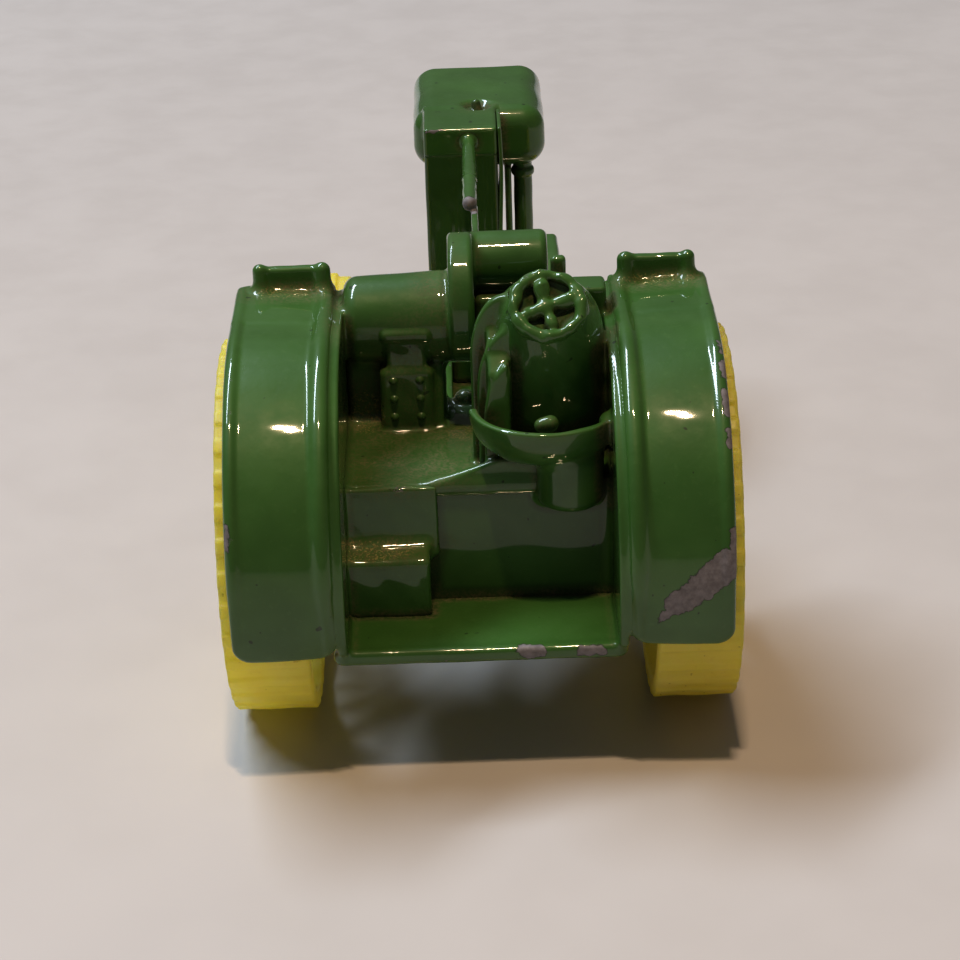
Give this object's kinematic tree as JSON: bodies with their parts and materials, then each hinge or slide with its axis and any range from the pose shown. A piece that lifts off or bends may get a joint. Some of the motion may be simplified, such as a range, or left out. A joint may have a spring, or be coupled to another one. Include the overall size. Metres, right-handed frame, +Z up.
{
  "type": "toy tractor",
  "caption": "Small die-cast toy of an early steel-wheeled farm tractor: wide rear fenders, ridged rear wheels, driver's platform, transverse engine and a fuel tank over the front axle.",
  "frame": {"origin": "on the ground plane, under the middle of the overall box", "axes": "+Y forward from the driver's platform to the fuel tank, +Z up, +X to the driver's right"},
  "size_m": [0.0276, 0.053, 0.0256],
  "materials": {
    "green_enamel": "thick glossy enamel over grey zinc casting, dusty in the corners, chipped at the edges",
    "yellow_plastic": "satin moulded plastic",
    "bare_steel": "plain drawn steel"
  },
  "bodies": {
    "root": {"frame_rail_left": "green_enamel", "frame_rail_right": "green_enamel", "frame_cross_members": "green_enamel", "front_cross_plate": "green_enamel", "floor_plate": "green_enamel", "rear_wall": "green_enamel", "deck_plate": "green_enamel", "step_box": "green_enamel", "fender_left": "green_enamel", "fender_right": "green_enamel", "fender_side_left": "green_enamel", "fender_side_right": "green_enamel", "axle_boss_left": "green_enamel", "axle_boss_right": "green_enamel", "fender_bracket_left": "green_enamel", "fender_bracket_right": "green_enamel", "gear_cover": "green_enamel", "gear_cover_rivets": "green_enamel", "drum_saddle": "green_enamel", "crankcase_drum": "green_enamel", "drum_gusset": "green_enamel", "flywheel": "green_enamel", "engine_block": "green_enamel", "belt_pulley": "green_enamel", "steering_pedestal": "green_enamel", "steering_wheel": "green_enamel", "throttle_lever": "green_enamel", "control_levers": "green_enamel", "seat_pan": "green_enamel", "seat_post": "green_enamel", "radiator_core": "green_enamel", "radiator_top": "green_enamel", "radiator_side_plate": "green_enamel", "filler_cap": "green_enamel", "fuel_tank": "green_enamel", "tank_leg": "green_enamel", "water_pipe": "green_enamel", "governor_rod": "green_enamel", "rod_web": "green_enamel", "toolbox": "green_enamel", "base_plate": "green_enamel", "base_rivets": "bare_steel", "front_bolster": "green_enamel", "front_axle_beam": "green_enamel", "front_axle": "bare_steel", "rear_axle": "bare_steel"},
    "rear_wheel_left": {"rear_wheel_left": "yellow_plastic"},
    "rear_wheel_right": {"rear_wheel_right": "yellow_plastic"},
    "front_wheel_left": {"front_wheel_left": "yellow_plastic"},
    "front_wheel_right": {"front_wheel_right": "yellow_plastic"}
  },
  "joints": [
    {"name": "rear_wheel_left_spin", "type": "hinge", "parent": "root", "child": "rear_wheel_left", "pos_m": [-0.0114, -0.01517, 0.0103], "axis": [1, 0, 0], "continuous": true},
    {"name": "rear_wheel_right_spin", "type": "hinge", "parent": "root", "child": "rear_wheel_right", "pos_m": [0.0114, -0.01517, 0.0103], "axis": [1, 0, 0], "continuous": true},
    {"name": "front_wheel_left_spin", "type": "hinge", "parent": "root", "child": "front_wheel_left", "pos_m": [-0.00935, 0.02032, 0.0056], "axis": [1, 0, 0], "continuous": true},
    {"name": "front_wheel_right_spin", "type": "hinge", "parent": "root", "child": "front_wheel_right", "pos_m": [0.01135, 0.02032, 0.0056], "axis": [1, 0, 0], "continuous": true}
  ]
}
